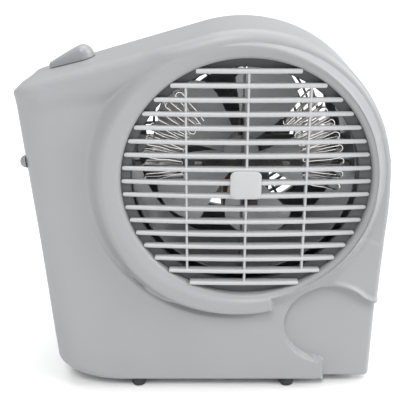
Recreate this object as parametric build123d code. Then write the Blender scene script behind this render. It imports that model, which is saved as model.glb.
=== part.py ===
from build123d import *
import os
from math import atan2, cos, radians, sin, sqrt

# A portable fan heater: a light grey plastic casing with a round louvred outlet, a zigzag heating
# ribbon behind it, an axial fan on a shaded-pole motor, and a pointer knob on the sloping shoulder.
# Millimetres, +Z up, the outlet faces -Y. The origin is under the middle of the object, on the
# surface that it stands on. Most sizes are given about the fan axis: x to the right, z up, and a
# depth counted backwards from the crest of the rim round the outlet.

# ---- driving dimensions --------------------------------------------------------------------
DRUM_R = 98.5            # round part of the casing, about the fan axis
AXIS_HEIGHT = 175.0      # fan axis above the surface
BASE_DROP = 167.5        # fan axis down to the underside of the casing
DEPTH = 136.0            # rim crest to the back of the inlet grille
WALL = 2.5
SHOULDER_ANGLE = 106.0   # outward normal of the sloping shoulder, from +X
FLANK_ANGLE = 184.5      # outward normal of the leaning left flank
FLANK_OFFSET = 149.0     # fan axis to the left flank
SHOULDER_CORNER_R = 16.0
BASE_LEFT_R = 26.0
BASE_RIGHT_R = 8.0
FACE_DEPTH = 11.0        # front face of the casing, behind the rim crest
PART_LINE = 64.0         # joint of the two shells
BACK_DEPTH = 134.0       # flat back of the rear shell
BACK_INSET = 12.0        # how far the rear shell has drawn in at its back
FRONT_EDGE_R = 6.5
BACK_EDGE_R = 4.0
BACK_CORNER_R = 18.0

OUTLET_X, OUTLET_Z = 1.5, -4.6   # centre of the outlet, a little off the fan axis
COLLAR_R = 85.0          # straight wall of the outlet, round the grille
LIP_R, LIP_DEPTH = 88.1, 1.6     # where that wall has flared out to the rim
FLARE_DEPTH, COLLAR_END = 5.6, 16.0
RIM_CREST_R = 90.0
APRON_TOP = (-3.5, -4.0, 93.0)   # the rim's sloping flank: x, z and radius at its crest
APRON_FOOT = (-6.0, -6.0, 103.5) # and at the face of the casing
APRON_END_X, APRON_END_Z = 23.0, -60.0   # it is cut away below and to the right of this
APRON_RIGHT_X = 40.0     # the drum itself is the rim to the right of this
LOUVRE_COUNT = 17
LOUVRE_PITCH = 9.51
LOUVRE_TOP = 72.6        # height of the top louvre over the fan axis
LOUVRE_THICK = 2.0
LOUVRE_END_R = 84.3
GRILLE_SET_BACK = 1.2    # depth of the louvres' front in the middle
GRILLE_BOW = 4.5         # and how much further back it is at their ends
GRILLE_BACK = 8.2
GRILLE_RING_NEAR, GRILLE_RING_FAR = 8.0, 11.6
THROAT = (0.5, -3.0, 77.2)       # x, z and radius of the opening inside the grille's ring
BAR_SPACING = 40.4
BAR_WIDTH = 1.4

RECESS_X, RECESS_Z, RECESS_R, RECESS_DEPTH = 64.5, -119.0, 32.0, 4.5
BROW_ANGLE = 55.0        # where the brow over the recess leaves its circle
BROW_END_Z = -103.2

INLET_R = 77.5
INLET_FLANGE_R = 82.0
GRIP_HALF_WIDTH = 40.0
GRIP_NEAR, GRIP_FAR = 88.0, 113.0
GRIP_FLOOR = 77.5

STUD_R = 4.5
STUD_DEPTH, STUD_HEIGHT = 23.0, 5.0
FOOT_R = 5.5
FEET_X = {"left": -77.0, "right": 37.0}
FEET_DEPTH = {"front": 17.0, "rear": 108.0}

DUCT_R = 77.3
DUCT_WALL = 0.8
DUCT_NEAR, DUCT_FAR = 17.0, 72.0
POST_R = 3.5
DUCT_POST_R = 90.5       # circle of the duct's screw posts
DUCT_FLANGE_R = 83.7
DUCT_POST_ANGLES = (0, 180, 270)
DUCT_EAR_WIDTH, DUCT_EAR_R = 9.0, 93.6

BOARD_NEAR, BOARD_FAR = 20.0, 40.0
BOARD_THICK = 0.8
RIBBON_INNER_R, RIBBON_OUTER_R = 42.0, 70.0
RIBBON_FOLDS = 44        # as many as would go all the way round
RIBBON_BANKS = ((-16, 54), (126, 196))   # angles that each bank of hairpins spans
RIBBON_THICK = 0.3
RIBBON_WIDTH = 4.0
RIBBON_DEPTHS = {"front": 22.0, "rear": 34.0}

SHAFT_R = 1.6
IMPELLER_R = 70.0
IMPELLER_NEAR, IMPELLER_FAR = 46.0, 64.0
HUB_R = 14.0
BLADE_COUNT = 5
BLADE_START = 63.0       # angle of the first blade
BLADE_CHORD = 30.0
BLADE_PITCH = 33.0
BRACKET_THICK = 1.5
STACK_NEAR, STACK_FAR = 80.0, 100.0
ROTOR_R = 12.0
ROTOR_GAP = 0.4
MOTOR_SCREW_X = 18.2

KNOB_X, KNOB_DEPTH = -110.0, 50.0
KNOB_R = 8.0
KNOB_REACH = 25.0
SPINDLE_R = 3.0

SWITCH_X, SWITCH_DEPTH = -60.0, 45.0
BUSH_X, BUSH_Z = -95.0, -148.0

RUNNING = 0.05           # radial clearance of the running fits
FIT = 0.05               # radial clearance of parts that are pushed or screwed together

# ---- the frame about the fan axis ----------------------------------------------------------


def flank_x(z):
    """Left flank of the casing at a height over the fan axis."""
    return (FLANK_OFFSET - z * sin(radians(FLANK_ANGLE))) / cos(radians(FLANK_ANGLE))


def shoulder_z(x):
    """Height of the sloping shoulder over the fan axis."""
    return (DRUM_R - x * cos(radians(SHOULDER_ANGLE))) / sin(radians(SHOULDER_ANGLE))


AXIS_X = -(flank_x(STUD_HEIGHT) - STUD_R + DRUM_R + STUD_R) / 2   # centres the object on X = 0
FRONT_Y = -DEPTH / 2
FAN_AXIS = Axis((AXIS_X, FRONT_Y, AXIS_HEIGHT), (0, 1, 0))


def at_depth(depth):
    """Plane that faces the front, centred on the fan axis, with its own Y upwards."""
    return Plane(origin=(AXIS_X, FRONT_Y + depth, AXIS_HEIGHT), x_dir=(1, 0, 0), z_dir=(0, -1, 0))


def at_height(x, depth, height):
    """Level plane at a place given about the fan axis; its own Y runs backwards."""
    return Plane(origin=(AXIS_X + x, FRONT_Y + depth, AXIS_HEIGHT + height))


def prism(face, near, far):
    """A face drawn about the fan axis, run from one depth to another."""
    return extrude(at_depth(far) * face, amount=far - near)


def tube(outer, inner, near, far, x=0.0, z=0.0):
    """A ring or, with no inner radius, a rod, parallel to the fan axis."""
    face = Circle(outer) - Circle(inner) if inner else Circle(outer)
    return prism(Pos(x, z) * face, near, far)


def turned(*points):
    """Solid of revolution about the fan axis from (radius, depth) points."""
    plane = Plane(origin=(AXIS_X, FRONT_Y, AXIS_HEIGHT), x_dir=(1, 0, 0), z_dir=(0, 0, 1))
    return revolve(plane * make_face(Polyline(*points, close=True)), FAN_AXIS, 360)


def slab(x0, x1, near, far, z0, z1):
    """A plain block between limits given about the fan axis."""
    return prism(Pos((x0 + x1) / 2, (z0 + z1) / 2) * Rectangle(x1 - x0, z1 - z0), near, far)


def polar(radius, angle):
    return radius * cos(radians(angle)), radius * sin(radians(angle))


def stud_rod(radius, x, depth, z0, z1, inner=0.0):
    """An upright rod or ring between two heights over the fan axis."""
    face = Circle(radius) - Circle(inner) if inner else Circle(radius)
    return extrude(at_height(x, depth, z0) * face, amount=z1 - z0)


# ---- casing --------------------------------------------------------------------------------


def outline(inset, base_inset, smallest_corner):
    """Casing outline: a four-sided shape whose corners, the drum among them, are arcs."""
    sides = ((0, DRUM_R - inset), (SHOULDER_ANGLE, DRUM_R - inset),
             (FLANK_ANGLE, FLANK_OFFSET - inset), (270, BASE_DROP - base_inset))
    corners = (DRUM_R, SHOULDER_CORNER_R, BASE_LEFT_R, BASE_RIGHT_R)
    arcs = []
    for index, corner in enumerate(corners):
        (a0, d0), (a1, d1) = sides[index], sides[(index + 1) % len(sides)]
        radius = max(corner - inset, smallest_corner)
        s0, c0, s1, c1 = sin(radians(a0)), cos(radians(a0)), sin(radians(a1)), cos(radians(a1))
        turn = s1 * c0 - c1 * s0
        centre = (((d0 - radius) * s1 - (d1 - radius) * s0) / turn,
                  ((d1 - radius) * c0 - (d0 - radius) * c1) / turn)
        arcs.append(CenterArc(centre, radius, a0, (a1 - a0) % 360))
    edges = []
    for arc, following in zip(arcs, arcs[1:] + arcs[:1]):
        edges += [arc, Line(arc @ 1, following @ 0)]
    return make_face(edges)


def front_block(inset, corner):
    block = prism(outline(inset, inset, corner), FACE_DEPTH + inset, PART_LINE)
    front = block.faces().sort_by(Axis.Y)[0]
    return fillet(front.edges(), FRONT_EDGE_R - inset)


def rear_block(inset):
    """Rear shell body: it draws in towards the back everywhere but underneath."""
    near = at_depth(PART_LINE) * outline(inset, inset, BASE_RIGHT_R - inset)
    far = at_depth(BACK_DEPTH - inset) * outline(BACK_INSET + inset, inset, BACK_CORNER_R - inset)
    block = loft([near, far], ruled=True)
    back = block.faces().sort_by(Axis.Y)[-1]
    return fillet(back.edges(), BACK_EDGE_R - inset)


def rim():
    """Raised rim round the outlet, which is also the rounded front of the drum."""
    depth = DRUM_R - RIM_CREST_R
    top = Line((0, 0), (RIM_CREST_R, 0))
    shoulder = CenterArc((RIM_CREST_R, depth), depth, 270, 90)
    rest = Polyline((DRUM_R, depth), (DRUM_R, PART_LINE / 3), (0, PART_LINE / 3), (0, 0))
    plane = Plane(origin=(AXIS_X, FRONT_Y, AXIS_HEIGHT), x_dir=(1, 0, 0), z_dir=(0, 0, 1))
    return revolve(plane * make_face([top, shoulder, rest]), FAN_AXIS, 360)


def recess_face(grow=0.0):
    """The lower right recess: a circle that opens downwards and, under an arched brow, to the right."""
    radius = RECESS_R + grow
    out_x, out_z = polar(1, BROW_ANGLE)
    start = (RECESS_X + radius * out_x, RECESS_Z + radius * out_z)
    end = (DRUM_R + 10, BROW_END_Z + grow)
    left, bottom = RECESS_X - 1 - grow, -BASE_DROP - 8
    brow = TangentArc(start, end, tangent=(out_z, -out_x))
    rest = Polyline(end, (end[0], bottom), (left, bottom), (left, RECESS_Z), start)
    return Pos(RECESS_X, RECESS_Z) * Circle(radius) + make_face([brow, rest])


WELL_R, WELL_BORE_R = 4.0, 1.5
SCREW_WELLS = ((-122.0, 15.0), (-112.0, -122.0), (74.0, -138.0), polar(89.5, 50))


def apron():
    """Sloping flank of the rim over the face of the casing; it stops short of the recess."""
    (x0, z0, r0), (x1, z1, r1) = APRON_TOP, APRON_FOOT
    behind, beyond = FACE_DEPTH + 3, 120
    top = at_depth(0) * Pos(x0, z0) * Circle(r0)
    bottom = at_depth(FACE_DEPTH + 2) * Pos(x1, z1) * Circle(r1)
    cone = loft([top, bottom], ruled=True)
    cone -= slab(APRON_END_X, beyond, -1, behind, -beyond, APRON_END_Z)
    return cone - slab(APRON_RIGHT_X, beyond, -1, behind, -beyond, beyond)


def front_housing():
    corner = BASE_RIGHT_R
    floor = FACE_DEPTH + RECESS_DEPTH
    collar_outside = COLLAR_R + WALL
    outside = front_block(0, corner) + rim() + (apron() & prism(outline(0, 0, corner), -1, PART_LINE))
    collar = tube(collar_outside, 0, 0, COLLAR_END, OUTLET_X, OUTLET_Z)
    cavity = front_block(WALL, corner - WALL) - collar
    cavity -= prism(recess_face(WALL), FACE_DEPTH, floor + WALL)
    near, far, inner, outer = 3, COLLAR_END + 2, COLLAR_R - 5, DRUM_R - 3
    rim_hollow = turned((inner, near), (outer - 1, near), (outer, near + 2), (outer, far), (inner, far))
    shell = outside - cavity - (rim_hollow - collar)
    for angle in DUCT_POST_ANGLES:
        x, z = polar(DUCT_POST_R, angle)
        shell += tube(POST_R, 0, 2, DUCT_FAR - DUCT_WALL, x, z)
    for x, z in SCREW_WELLS:
        shell += tube(WELL_R, 0, 1, PART_LINE, x, z) & outside
    shell -= outlet()
    shell -= prism(recess_face(), -1, floor)
    for x, z in SCREW_WELLS:
        shell -= tube(WELL_BORE_R + FIT, 0, PART_LINE - 16, PART_LINE + 1, x, z)
    for angle in DUCT_POST_ANGLES:
        x, z = polar(DUCT_POST_R, angle)
        shell -= tube(1.4 + FIT, 0, DUCT_FAR - 14, DUCT_FAR + 1, x, z)
    for x in FEET_X.values():
        shell -= stud_rod(2.4 + FIT, x, FEET_DEPTH["front"], -BASE_DROP - 1, -BASE_DROP + 6)
    shell -= stud_rod(3.3, SWITCH_X, SWITCH_DEPTH, -BASE_DROP - 1, -BASE_DROP + WALL + 1)
    shell -= extrude(knob_plane(-WALL - 1) * Circle(4.5 + FIT), amount=WALL + 2)
    for side in ("left", "right"):
        shell -= extrude(stud_plane(side) * Circle(2 + FIT), amount=-WALL - 1)
    return shell


def outlet():
    """The space inside the outlet: a straight wall with a flared mouth."""
    centre = (AXIS_X + OUTLET_X, FRONT_Y, AXIS_HEIGHT + OUTLET_Z)
    profile = Polyline((0, -1), (LIP_R, -1), (LIP_R, LIP_DEPTH), (COLLAR_R, FLARE_DEPTH),
                       (COLLAR_R, COLLAR_END + 1), (0, COLLAR_END + 1), close=True)
    plane = Plane(origin=centre, x_dir=(1, 0, 0), z_dir=(0, 0, 1))
    return revolve(plane * make_face(profile), Axis(centre, (0, 1, 0)), 360)


def rear_housing():
    shell = rear_block(0) - rear_block(WALL)
    grip = slab(-GRIP_HALF_WIDTH - WALL, GRIP_HALF_WIDTH + WALL, GRIP_NEAR - WALL, GRIP_FAR + WALL,
                GRIP_FLOOR - WALL, DRUM_R + 5)
    shell += grip & rear_block(0)
    for x, z in SCREW_WELLS:
        shell += tube(5.5, 0, PART_LINE, BACK_DEPTH, x, z) & rear_block(0)
    for x, z in SCREW_WELLS:
        shell -= tube(3.6, 0, PART_LINE + 4, DEPTH, x, z)
        shell -= tube(1.6, 0, PART_LINE - 1, PART_LINE + 5, x, z)
    shell -= slab(-GRIP_HALF_WIDTH, GRIP_HALF_WIDTH, GRIP_NEAR, GRIP_FAR, GRIP_FLOOR, DRUM_R + 6)
    shell -= tube(INLET_R, 0, BACK_DEPTH - WALL - 1, DEPTH)
    shell -= tube(5 + FIT, 0, BACK_DEPTH - WALL - 1, DEPTH, BUSH_X, BUSH_Z)
    for x in FEET_X.values():
        shell -= stud_rod(2.4 + FIT, x, FEET_DEPTH["rear"], -BASE_DROP - 1, -BASE_DROP + 6)
    return shell


def louvre_z(index):
    return LOUVRE_TOP - index * LOUVRE_PITCH


def louvre_span(x):
    """Heights of the highest and the lowest louvre that pass a place across the grille."""
    half = sqrt(LOUVRE_END_R ** 2 - (x - OUTLET_X) ** 2)
    heights = [louvre_z(i) for i in range(LOUVRE_COUNT) if abs(louvre_z(i) - OUTLET_Z) < half]
    return max(heights), min(heights)


def front_grille():
    """Louvres that bow forwards in the middle, three upright bars and the ring that carries them."""
    above = Plane(origin=(AXIS_X, FRONT_Y, AXIS_HEIGHT - 100), x_dir=(1, 0, 0), z_dir=(0, 0, 1))
    ends = GRILLE_SET_BACK + GRILLE_BOW
    front = ThreePointArc((-LOUVRE_END_R, ends), (0, GRILLE_SET_BACK), (LOUVRE_END_R, ends))
    rest = Polyline((LOUVRE_END_R, ends), (90, ends), (90, GRILLE_BACK), (-90, GRILLE_BACK), (-90, ends),
                    (-LOUVRE_END_R, ends))
    envelope = extrude(above * make_face([front, rest]), amount=200)
    disc = Pos(OUTLET_X, OUTLET_Z) * Circle(LOUVRE_END_R)
    slats = Sketch() + [Pos(0, louvre_z(i)) * Rectangle(180, LOUVRE_THICK) for i in range(LOUVRE_COUNT)]
    bars = Sketch()
    for x in (OUTLET_X - BAR_SPACING, OUTLET_X, OUTLET_X + BAR_SPACING):
        high, low = louvre_span(x)
        bars += Pos(x, (high + low) / 2) * Rectangle(BAR_WIDTH, high - low)
    grid = (prism(slats & disc, 0, GRILLE_BACK) & envelope) + prism(bars, ends, GRILLE_BACK)
    x, z, throat = THROAT
    outside = COLLAR_R - FIT
    ring = tube(outside, 0, GRILLE_RING_NEAR, COLLAR_END, OUTLET_X, OUTLET_Z)
    ring -= tube(throat, 0, 0, COLLAR_END + 1, x, z)
    return grid + (ring - tube(outside - 1.8, 0, GRILLE_RING_FAR, COLLAR_END + 1, OUTLET_X, OUTLET_Z))


def grille_badge():
    plate = Pos(1.0, -4.5) * RectangleRounded(21, 20, 4)
    middle = Pos(1.0, -4.5) * RectangleRounded(17.5, 16.5, 3)
    return prism(plate, 0.5, GRILLE_SET_BACK) + prism(plate - middle, 0.1, 0.6)


def rear_inlet_grille():
    """Rings and spokes round a plain disc, with a flange that laps the back of the casing."""
    outermost, hub, pitch = INLET_R - 8.5, 46, 6
    rings = tube(INLET_FLANGE_R, INLET_R - 2.5, BACK_DEPTH, DEPTH)
    rings += tube(INLET_R - FIT, INLET_R - 2.5, BACK_DEPTH - WALL, BACK_DEPTH)
    radius = outermost
    while radius > hub + 2:
        rings += tube(radius, radius - 1.8, BACK_DEPTH - 1.5, DEPTH - 0.5)
        radius -= pitch
    rings += tube(hub, 0, BACK_DEPTH - 1.5, DEPTH - 0.5)
    length = INLET_R - hub
    spokes = Sketch() + [Rot(0, 0, angle) * Pos(hub + length / 2 - 1, 0) * Rectangle(length, 2)
                         for angle in range(0, 360, 30)]
    return rings + prism(spokes, BACK_DEPTH - 2, DEPTH - 1)


def housing_screws():
    screws = []
    for x, z in SCREW_WELLS:
        head = tube(3, 0, PART_LINE + 4, PART_LINE + 6.2, x, z)
        head -= tube(1.2, 0, PART_LINE + 5, PART_LINE + 7, x, z)
        screws.append(head + tube(1.5, 0, PART_LINE - 14, PART_LINE + 4, x, z))
    return Compound(screws)


def foot(side, end):
    """Rubber foot: a tapered pad with a stem pushed up into the base."""
    x, depth = FEET_X[side], FEET_DEPTH[end]
    ground = at_height(x, depth, -AXIS_HEIGHT)
    top = at_height(x, depth, -BASE_DROP)
    pad = loft([ground * Circle(FOOT_R - 0.8), top * Circle(FOOT_R)])
    return pad + stud_rod(2.4, x, depth, -BASE_DROP, -BASE_DROP + 5)


def stud_plane(side):
    """Plane on the outside of a flank, facing outwards, where a side stud sits."""
    x = flank_x(STUD_HEIGHT) if side == "left" else DRUM_R
    normal = polar(1, FLANK_ANGLE) if side == "left" else (1, 0)
    place = (AXIS_X + x, FRONT_Y + STUD_DEPTH, AXIS_HEIGHT + STUD_HEIGHT)
    return Plane(origin=place, x_dir=(0, 1, 0), z_dir=(normal[0], 0, normal[1]))


def side_stud(side):
    """Domed cap with a short stem through the flank."""
    plane = stud_plane(side)
    dome = plane * Sphere(STUD_R)
    outside = plane * Pos(0, 0, 10) * Box(20, 20, 20)
    return (dome & outside) + extrude(plane * Circle(2), amount=-6)


# ---- heater --------------------------------------------------------------------------------


def air_duct():
    """Sheet steel duct, with a flange whose ears are screwed to the posts of the front shell."""
    duct = tube(DUCT_R, DUCT_R - DUCT_WALL, DUCT_NEAR, DUCT_FAR)
    flange = Circle(DUCT_FLANGE_R)
    for angle in DUCT_POST_ANGLES:
        flange += Rot(0, 0, angle) * Pos(DUCT_EAR_R / 2, 0) * Rectangle(DUCT_EAR_R, DUCT_EAR_WIDTH)
    flange -= Circle(DUCT_R - DUCT_WALL)
    duct += prism(flange, DUCT_FAR - DUCT_WALL, DUCT_FAR)
    for angle in DUCT_POST_ANGLES:
        x, z = polar(DUCT_POST_R, angle)
        duct -= tube(1.4 + FIT, 0, DUCT_FAR - 2, DUCT_FAR + 1, x, z)
    return duct


def duct_screws():
    screws = []
    for angle in DUCT_POST_ANGLES:
        x, z = polar(DUCT_POST_R, angle)
        seat = DUCT_FAR if angle == 270 else DUCT_FAR + BRACKET_THICK
        head = tube(2.8, 0, seat, seat + 2, x, z) - tube(1.1, 0, seat + 1, seat + 3, x, z)
        screws.append(head + tube(1.4, 0, DUCT_FAR - 12, seat, x, z))
    return Compound(screws)


def mica_board(upright):
    """Insulating board across the duct, notched for the ribbons and halved at the crossing."""
    reach = DUCT_R - DUCT_WALL - 0.2
    middle = (BOARD_NEAR + BOARD_FAR) / 2
    board = slab(-reach, reach, BOARD_NEAR, BOARD_FAR, -BOARD_THICK / 2, BOARD_THICK / 2)
    half = BOARD_THICK / 2 + FIT
    cross = (middle - FIT, BOARD_FAR + 1) if upright else (BOARD_NEAR - 1, middle + FIT)
    board -= slab(-half, half, cross[0], cross[1], -1, 1)
    crossing = (RIBBON_INNER_R + RIBBON_OUTER_R * 0.6) * 0.625
    for sign in (-1, 1):
        low, high = sorted((sign * (crossing - 5.5), sign * (crossing + 5.5)))
        board -= slab(low, high, BOARD_NEAR - 1, RIBBON_DEPTHS["front"] + RIBBON_WIDTH + 0.4, -1, 1)
        board -= slab(low, high, RIBBON_DEPTHS["rear"] - 0.4, BOARD_FAR + 1, -1, 1)
    return board.rotate(FAN_AXIS, 90) if upright else board


def heating_ribbon(row):
    """Flat resistance ribbon folded into radial hairpins: a bank on each side of the duct."""
    step = 180 / RIBBON_FOLDS
    half_gap = radians(step) * (RIBBON_INNER_R + RIBBON_OUTER_R) / 4
    lean = half_gap / (RIBBON_OUTER_R - RIBBON_INNER_R)
    spread = RIBBON_THICK / 2 / sin(atan2(2 * lean, 1))
    start = step / 2 if row == "front" else -step / 2
    radii = (RIBBON_OUTER_R, RIBBON_INNER_R)
    near = RIBBON_DEPTHS[row]
    banks = []
    for first, last in RIBBON_BANKS:
        folds = [i for i in range(-2 * RIBBON_FOLDS, 2 * RIBBON_FOLDS) if first < start + i * step < last]
        outer = [polar(radii[i % 2] + spread, start + i * step) for i in folds]
        inner = [polar(radii[i % 2] - spread, start + i * step) for i in reversed(folds)]
        banks.append(prism(make_face(Polyline(*outer, *inner, close=True)), near, near + RIBBON_WIDTH))
    return Compound(banks)


def heater_terminals():
    """Brass tabs riveted to the level board, where the supply leads push on."""
    tabs = []
    for x in (-73.0, -31.0, 31.0, 73.0):
        tabs.append(slab(x - 2.5, x + 2.5, 27, 33.2, BOARD_THICK / 2, BOARD_THICK / 2 + 0.8))
    return Compound(tabs)


def thermal_cutout():
    """Bimetal disc thermostat on the upright board."""
    side = BOARD_THICK / 2
    plane = Plane(origin=(AXIS_X + side, FRONT_Y + 30, AXIS_HEIGHT - 28), x_dir=(0, 1, 0), z_dir=(1, 0, 0))
    body = extrude(plane * Circle(6), amount=4) + extrude(plane * Circle(4.8), amount=6)
    tabs = slab(side + 6, side + 11, 27, 28, -30, -26) + slab(side + 6, side + 11, 32, 33, -30, -26)
    return body + tabs


def thermal_fuse():
    return stud_rod(1.6, -BOARD_THICK / 2 - 1.65, 30, 22, 34)


# ---- motor and fan -------------------------------------------------------------------------


def motor_bracket():
    """Steel strap across the back of the duct, which carries the motor."""
    reach = DUCT_EAR_R
    strap = slab(-reach, reach, DUCT_FAR, DUCT_FAR + BRACKET_THICK, -9, 9)
    strap &= tube(reach, 0, DUCT_FAR, DUCT_FAR + BRACKET_THICK)
    strap -= tube(8, 0, DUCT_FAR - 1, DUCT_FAR + 3)
    for x in (-DUCT_POST_R, DUCT_POST_R):
        strap -= tube(1.4 + FIT, 0, DUCT_FAR - 1, DUCT_FAR + 3, x)
    for x in (-MOTOR_SCREW_X, MOTOR_SCREW_X):
        strap -= tube(1.8 + FIT, 0, DUCT_FAR - 1, DUCT_FAR + 3, x)
    return strap


SPACER_NEAR = DUCT_FAR + BRACKET_THICK
BRIDGE_THICK = 2.5


def motor_spacers():
    return Compound([tube(3.5, 1.8 + FIT, SPACER_NEAR, STACK_NEAR - BRIDGE_THICK, x)
                     for x in (-MOTOR_SCREW_X, MOTOR_SCREW_X)])


def motor_bridge(front):
    """Bearing bridge on one face of the stack, with a boss that holds the bush."""
    near = STACK_NEAR - BRIDGE_THICK if front else STACK_FAR
    boss = (near - 3.5, near) if front else (near + BRIDGE_THICK, near + BRIDGE_THICK + 4.5)
    bridge = prism(RectangleRounded(48, 16, 5), near, near + BRIDGE_THICK) + tube(7, 0, boss[0], boss[1])
    bridge -= tube(5 + FIT, 0, near - 5, near + 8)
    for x in (-MOTOR_SCREW_X, MOTOR_SCREW_X):
        bridge -= tube(1.8 + FIT, 0, near - 1, near + BRIDGE_THICK + 1, x)
    return bridge


def bearing(front):
    near = STACK_NEAR - BRIDGE_THICK - 3.5 if front else STACK_FAR + 1
    return tube(5, SHAFT_R + RUNNING, near, near + 5.5)


def motor_stator():
    """Laminated stack: rotor bore above, a window, and the leg that carries the coil."""
    stack = slab(-24, 24, STACK_NEAR, STACK_FAR, -42, 20)
    stack -= tube(ROTOR_R + ROTOR_GAP, 0, STACK_NEAR - 1, STACK_FAR + 1)
    stack -= slab(-14, 14, STACK_NEAR - 1, STACK_FAR + 1, -31, -19)
    for x in (-MOTOR_SCREW_X, MOTOR_SCREW_X):
        stack -= tube(1.8 + FIT, 0, STACK_NEAR - 1, STACK_FAR + 1, x)
    return stack


def leg_sleeve(grow, x_half):
    """A block round the coil leg, grown by the same amount on its four sides."""
    return slab(-x_half, x_half, STACK_NEAR - grow, STACK_FAR + grow, -42 - grow, -31 + grow)


def coil_bobbin():
    bobbin = leg_sleeve(1.2, 12) + (leg_sleeve(10.5, 13.2) - leg_sleeve(10.6, 12))
    return bobbin - leg_sleeve(0.1, 20)


def motor_coil():
    return leg_sleeve(9.5, 11.9) - leg_sleeve(1.25, 20)


def shading_rings():
    """Two copper loops that stand round opposite pole corners."""
    loops = []
    for sign in (-1, 1):
        x0, x1 = sorted((sign * 14.5, sign * 23.2))
        loop = slab(x0, x1, STACK_NEAR - 2, STACK_NEAR - 0.1, sign * 12 - 2.5, sign * 12 + 2.5)
        loops.append(loop)
    return Compound(loops)


def motor_screws():
    screws = []
    for x in (-MOTOR_SCREW_X, MOTOR_SCREW_X):
        head = tube(3.2, 0, DUCT_FAR - 2.2, DUCT_FAR, x) - tube(1.3, 0, DUCT_FAR - 3, DUCT_FAR - 1.2, x)
        screws.append(head + tube(1.8, 0, DUCT_FAR, STACK_FAR + BRIDGE_THICK + 4, x))
    return Compound(screws)


def motor_nuts():
    seat = STACK_FAR + BRIDGE_THICK
    face = RegularPolygon(3.5, 6) - Circle(1.8 + FIT)
    return Compound([prism(Pos(x, 0) * face, seat, seat + 2.6) for x in (-MOTOR_SCREW_X, MOTOR_SCREW_X)])


def motor_rotor():
    return tube(ROTOR_R, SHAFT_R, STACK_NEAR + 0.5, STACK_FAR - 0.5)


def motor_shaft():
    return tube(SHAFT_R, 0, IMPELLER_NEAR - 2, STACK_FAR + 9)


def impeller():
    """Five pitched blades on a cup-shaped hub."""
    cup = tube(HUB_R, 0, IMPELLER_NEAR, IMPELLER_FAR)
    cup -= tube(HUB_R - 2, 0, IMPELLER_NEAR + 2.5, IMPELLER_FAR + 1)
    middle = (IMPELLER_NEAR + IMPELLER_FAR) / 2
    centre = Plane(origin=(AXIS_X, FRONT_Y + middle, AXIS_HEIGHT), x_dir=(1, 0, 0), z_dir=(0, -1, 0))
    flat = centre * Rot(BLADE_PITCH, 0, 0) * Pos(HUB_R + 28, 0, 0) * Box(60, BLADE_CHORD, 1.8)
    blade = flat & tube(IMPELLER_R, HUB_R - 1, IMPELLER_NEAR, IMPELLER_FAR)
    wheel = cup + tube(4.5, 0, IMPELLER_NEAR, IMPELLER_FAR - 3)
    for index in range(BLADE_COUNT):
        wheel += blade.rotate(FAN_AXIS, -BLADE_START - index * 360 / BLADE_COUNT)
    return wheel - tube(SHAFT_R, 0, IMPELLER_NEAR - 1, IMPELLER_FAR)


def impeller_clip():
    return tube(4, SHAFT_R, IMPELLER_NEAR - 1.2, IMPELLER_NEAR)


# ---- control -------------------------------------------------------------------------------


def knob_plane(lift=0.0):
    """Plane on the sloping shoulder at the knob; its own X runs up the slope."""
    up, out = polar(1, SHOULDER_ANGLE - 90), polar(1, SHOULDER_ANGLE)
    place = (AXIS_X + KNOB_X + lift * out[0], FRONT_Y + KNOB_DEPTH,
             AXIS_HEIGHT + shoulder_z(KNOB_X) + lift * out[1])
    return Plane(origin=place, x_dir=(up[0], 0, up[1]), z_dir=(out[0], 0, out[1]))


def shoulder_rod(radius, low, high, inner=0.0):
    """A rod or ring square to the shoulder, on the knob's axis."""
    face = Circle(radius) - Circle(inner) if inner else Circle(radius)
    return extrude(knob_plane(low) * face, amount=high - low)


def control_knob():
    """Teardrop pointer: tall over the spindle, sinking to a thin tip down the slope."""
    gap, tip_r = 0.5, 2.5
    plan = make_hull([Circle(KNOB_R).edge(), (Pos(tip_r - KNOB_REACH, 0) * Circle(tip_r)).edge()])
    body = extrude(knob_plane(gap) * plan, amount=11)
    side = Plane(origin=knob_plane().origin, x_dir=knob_plane().x_dir, z_dir=(0, -1, 0))
    top = Polyline((4.5, 8.8), (0, 9.8), (-3, 9.6), (-KNOB_REACH, 3.0))
    rest = Polyline((-KNOB_REACH, 3.0), (-KNOB_REACH - 2, 0), (KNOB_R + 2, 0), (KNOB_R + 2, 2),
                    (KNOB_R, 6), (4.5, 8.8))
    wedge = extrude(side * make_face([top, rest]), amount=20, both=True)
    body = (body & wedge) - shoulder_rod(6.8, 0, 2.7) - shoulder_rod(SPINDLE_R + FIT, 0, 7.6)
    return body


def control_spindle():
    return shoulder_rod(SPINDLE_R, -15.5, 7.4)


def thermostat_body():
    """Rotary thermostat with a threaded neck through the shoulder."""
    case = shoulder_rod(13, -22, -7) + shoulder_rod(7, -7, -WALL - 0.1)
    case += shoulder_rod(4.5, -WALL - 0.1, 2.2)
    tabs = extrude(knob_plane(-27) * (Pos(-8, 0) * Rectangle(1, 6) + Pos(8, 0) * Rectangle(1, 6)), amount=5.5)
    return case + tabs - shoulder_rod(SPINDLE_R + RUNNING, -16, 3)


def thermostat_nut():
    face = RegularPolygon(6.2, 6) - Circle(4.5 + FIT)
    return extrude(knob_plane(0.1) * face, amount=2)


# ---- tip-over switch -----------------------------------------------------------------------

PLUNGER_SHOULDER = -157.0
SWITCH_CEILING = -143.0


def tip_switch_body():
    base = -BASE_DROP + WALL
    case = slab(SWITCH_X - 10, SWITCH_X + 10, SWITCH_DEPTH - 8, SWITCH_DEPTH + 8, base, -138)
    case -= stud_rod(6, SWITCH_X, SWITCH_DEPTH, base - 1, SWITCH_CEILING)
    case -= stud_rod(2 + RUNNING, SWITCH_X, SWITCH_DEPTH, SWITCH_CEILING - 1, -139)
    return case


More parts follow.
